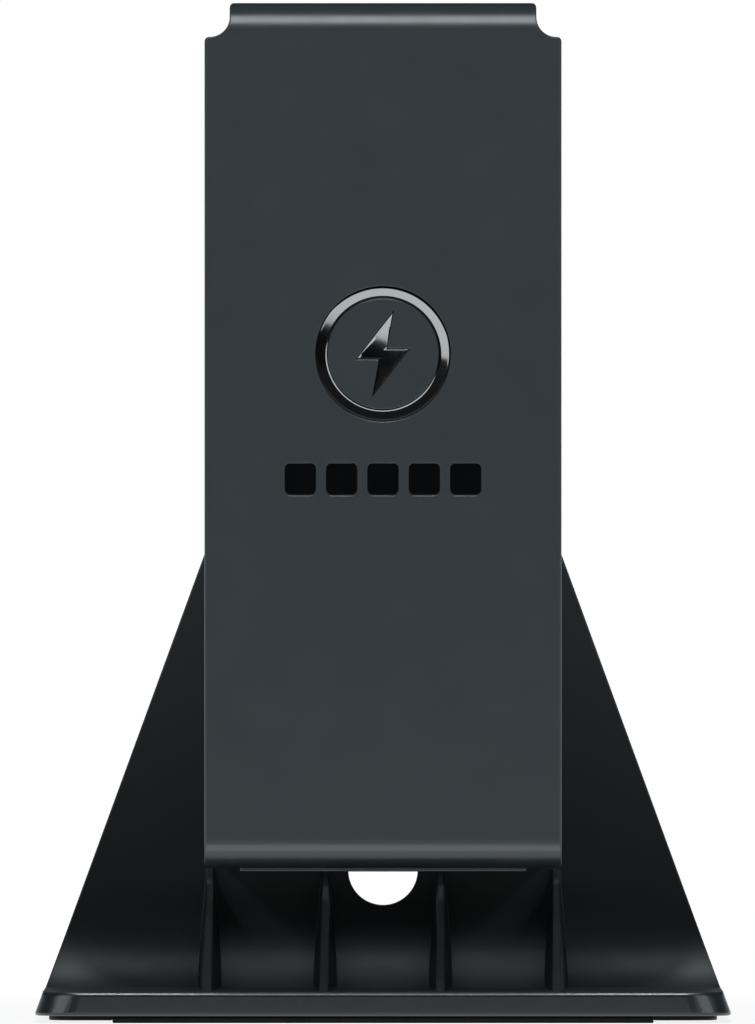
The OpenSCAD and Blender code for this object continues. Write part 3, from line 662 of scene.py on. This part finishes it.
def lights(lamp, pieces, include=True):
    """Has a light reach only these pieces, or every piece but these."""
    lamp.light_linking.receiver_collection = group(lamp.name + "_lights", pieces, include)


def shaded_by(lamp, pieces):
    """Has only these pieces stand in a light's way."""
    lamp.light_linking.blocker_collection = group(lamp.name + "_shaded_by", pieces, True)


stand_piece = shown["stand"]

# The key, above the camera, draws the bright bands on the cover's bends.
key = softbox("key_softbox", elevation=48, azimuth=0, width=0.32, height=0.5, radiance=8.6)
lights(key, [stand_piece], include=False)

# The stand has its own: one overhead for the sweep, and a strip behind the wall's top for the lip's edge.
overhead = softbox("overhead_softbox", elevation=90.5, azimuth=0, width=0.8, height=0.39, radiance=5.9)
rear_strip = softbox("rear_strip", elevation=111, azimuth=0, width=0.2, height=0.1, radiance=28)
for lamp in (overhead, rear_strip):
    lights(lamp, [stand_piece])
    shaded_by(lamp, [stand_piece])

# From both sides: a faint one for the tower's flanks, and one for the gloss of the foot's corners.
for hand, side in (("left", -1), ("right", 1)):
    flank = softbox(f"{hand}_tower_softbox", elevation=12, azimuth=58 * side, width=0.6, height=0.8, radiance=0.7)
    lights(flank, [stand_piece], include=False)
    glint = softbox(f"{hand}_stand_softbox", elevation=12, azimuth=58 * side, width=0.6, height=0.8, radiance=1.8)
    lights(glint, [stand_piece])
    glint.visible_diffuse = False

# What the cover's lower bend and the cap's front edge show: a low card that lies in front of them.
low_card = lamp_at(
    "low_card", where=Vector((0, -0.043, 0.01)), back=Vector((0, 0, -1)), width=0.1, height=0.056, radiance=1.3
)
low_card.visible_diffuse = False
lights(low_card, [shown["front_cover"], shown["tower_cap"]])

# What the sweep between the ribs shows: a strip under the tower.
sweep_card = lamp_at(
    "sweep_card",
    where=Vector((0, 0.0245, 0.0243)),
    back=Vector((0, 0, 1)),
    width=0.057,
    height=0.007,
    radiance=0.5,
)
sweep_card.data.spread = math.radians(60)
lights(sweep_card, [stand_piece])

# What the badge shows: the lower edge of a slanted card, brighter towards its top.
badge_card = lamp_at(
    "badge_card",
    where=Vector((-0.0103, -0.6, 0.1646)),
    back=Vector((0, -1, 0)),
    width=0.3,
    height=0.07,
    radiance=8.0,
    turn=math.radians(-16.4),
)
lights(badge_card, [shown["badge"]])
badge_card.data.use_nodes = True
tree = badge_card.data.node_tree
tree.nodes.clear()
along = add(tree, "SeparateXYZ", {0: add(tree, "NewGeometry").outputs["Parametric"]}).outputs
upwards = add(tree, "Math", {0: 1.0, 1: along["X"]}, operation="SUBTRACT")
upwards = add(tree, "Math", {0: upwards.outputs[0], 1: along["Y"]}, operation="SUBTRACT")
glow = add(tree, "MapRange", {0: upwards.outputs[0], 1: 1.0, 2: 0.4, 3: 0.3, 4: 1.4}).outputs[0]
add(tree, "OutputLight", {0: add(tree, "Emission", {"Strength": glow}).outputs[0]})

# What brightens the wall beside the top of its slopes: a spot on each side.
SPOT_CONE = math.radians(17)
SPOT_POWER = 12.0
SPOT_RADIUS = 0.03
for hand, side in (("left", -1), ("right", 1)):
    data = bpy.data.lights.new(f"wall_spot_{hand}", "SPOT")
    data.spot_size, data.spot_blend, data.shadow_soft_size = SPOT_CONE, 1.0, SPOT_RADIUS
    data.energy = SPOT_POWER
    data.color = COOL
    lamp = bpy.data.objects.new(data.name, data)
    bpy.context.scene.collection.objects.link(lamp)
    lamp.location = (0.3 * side, -0.5, 0.3)
    aim = Vector((0.034 * side, 0.03, 0.115))
    lamp.rotation_euler = (Vector(lamp.location) - aim).to_track_quat("Z", "Y").to_euler()
    lights(lamp, [stand_piece])

# The floor: half its size, how far from the stand it takes a shadow and by where it has faded, the Y over
# which gloss comes to show it as white, and its own glow near the stand.
FLOOR_HALF = 12.0
SHADOW_WITHIN, SHADOW_GONE = 0.1, 0.3
MIRROR_STARTS, MIRROR_FULL = -0.24, -0.08
NEAR_GLOW = 0.84


def white_floor():
    """A pale seamless floor. Near the stand it takes its shadow; further out, and in what metal and gloss
    show of it, it is plain white."""
    mesh = bpy.data.meshes.new("floor")
    corners = [(x * FLOOR_HALF, y * FLOOR_HALF, 0) for x, y in ((-1, -1), (1, -1), (1, 1), (-1, 1))]
    mesh.from_pydata(corners, [], [(0, 1, 2, 3)])
    floor = bpy.data.objects.new("floor", mesh)
    bpy.context.scene.collection.objects.link(floor)
    material, tree = blank("paper, white seamless")
    at = place(tree)
    reach = add(tree, "VectorMath", {0: at}, operation="LENGTH").outputs["Value"]
    far = add(tree, "MapRange", {0: reach, 1: SHADOW_WITHIN, 2: SHADOW_GONE}).outputs[0]
    along_y = add(tree, "SeparateXYZ", {0: at}).outputs["Y"]
    behind = add(tree, "MapRange", {0: along_y, 1: MIRROR_STARTS, 2: MIRROR_FULL}).outputs[0]
    path = add(tree, "LightPath").outputs
    mirrored = add(tree, "Math", {0: path["Is Glossy Ray"], 1: path["Is Transmission Ray"]}, operation="MAXIMUM")
    mirrored = add(tree, "Math", {0: mirrored.outputs[0], 1: behind}, operation="MULTIPLY").outputs[0]
    looked_at = add(tree, "Math", {0: path["Is Camera Ray"], 1: mirrored}, operation="MAXIMUM").outputs[0]
    paper = add(tree, "BsdfDiffuse", {"Color": linear("#e9e9e9")}).outputs[0]
    dim_paper = add(tree, "BsdfDiffuse", {"Color": linear("#808080")}).outputs[0]
    glow = add(tree, "Emission", {"Color": WHITE, "Strength": NEAR_GLOW}).outputs[0]
    plain = add(tree, "Emission", {"Color": WHITE, "Strength": 1.0}).outputs[0]
    near = add(tree, "AddShader", {0: dim_paper, 1: glow}).outputs[0]
    seen = add(tree, "MixShader", {0: far, 1: near, 2: plain}).outputs[0]
    out = add(tree, "MixShader", {0: looked_at, 1: paper, 2: seen}).outputs[0]
    add(tree, "OutputMaterial", {"Surface": out})
    mesh.materials.append(material)


white_floor()

# The room's light on matt faces, and what gloss shows of it away from the white cove.
ROOM_FILL = 0.18
ROOM_IN_GLOSS = 0.03


def studio():
    """The room: white behind the stand and where the camera looks, dim grey elsewhere, so that the flat faces
    that look at the camera stay as dark as they are."""
    world = bpy.data.worlds.new("studio")
    bpy.context.scene.world = world
    world.use_nodes = True
    tree = world.node_tree
    tree.nodes.clear()
    way = add(tree, "SeparateXYZ", {0: add(tree, "TexCoord").outputs["Generated"]}).outputs
    behind = add(tree, "MapRange", {0: way["Y"], 1: 0.1, 2: 0.6}).outputs[0]
    low = add(tree, "MapRange", {0: way["Z"], 1: 0.25, 2: 0.05}).outputs[0]
    cove = add(tree, "Math", {0: behind, 1: low}, operation="MULTIPLY").outputs[0]
    path = add(tree, "LightPath").outputs
    mirrored = add(tree, "Math", {0: path["Is Glossy Ray"], 1: path["Is Transmission Ray"]}, operation="MAXIMUM")
    mirrored = add(tree, "Math", {0: mirrored.outputs[0], 1: cove}, operation="MULTIPLY").outputs[0]
    white = add(tree, "Math", {0: path["Is Camera Ray"], 1: mirrored}, operation="MAXIMUM").outputs[0]
    soft = add(tree, "Math", {0: path["Is Diffuse Ray"], 1: ROOM_FILL}, operation="MULTIPLY").outputs[0]
    level = add(tree, "Math", {0: white, 1: soft}, operation="MAXIMUM").outputs[0]
    level = add(tree, "Math", {0: level, 1: ROOM_IN_GLOSS}, operation="MAXIMUM").outputs[0]
    room = add(tree, "Background", {"Color": WHITE, "Strength": level}).outputs[0]
    add(tree, "OutputWorld", {"Surface": room})


studio()


def camera():
    """The long lens: its field holds the photograph's height at the stand."""
    data = bpy.data.cameras.new("long_lens")
    data.sensor_width = SENSOR
    data.lens = SENSOR * CAMERA_AWAY / (PHOTO_H / PX_PER_MM * MM)
    data.clip_start, data.clip_end = 0.1, 100
    eye = bpy.data.objects.new("long_lens", data)
    bpy.context.scene.collection.objects.link(eye)
    back = Vector((0, -1, 0))
    eye.location = Vector(AIM) + back * CAMERA_AWAY
    eye.rotation_euler = back.to_track_quat("Z", "Y").to_euler()
    bpy.context.scene.camera = eye


camera()
bpy.context.scene.view_settings.view_transform = "Standard"
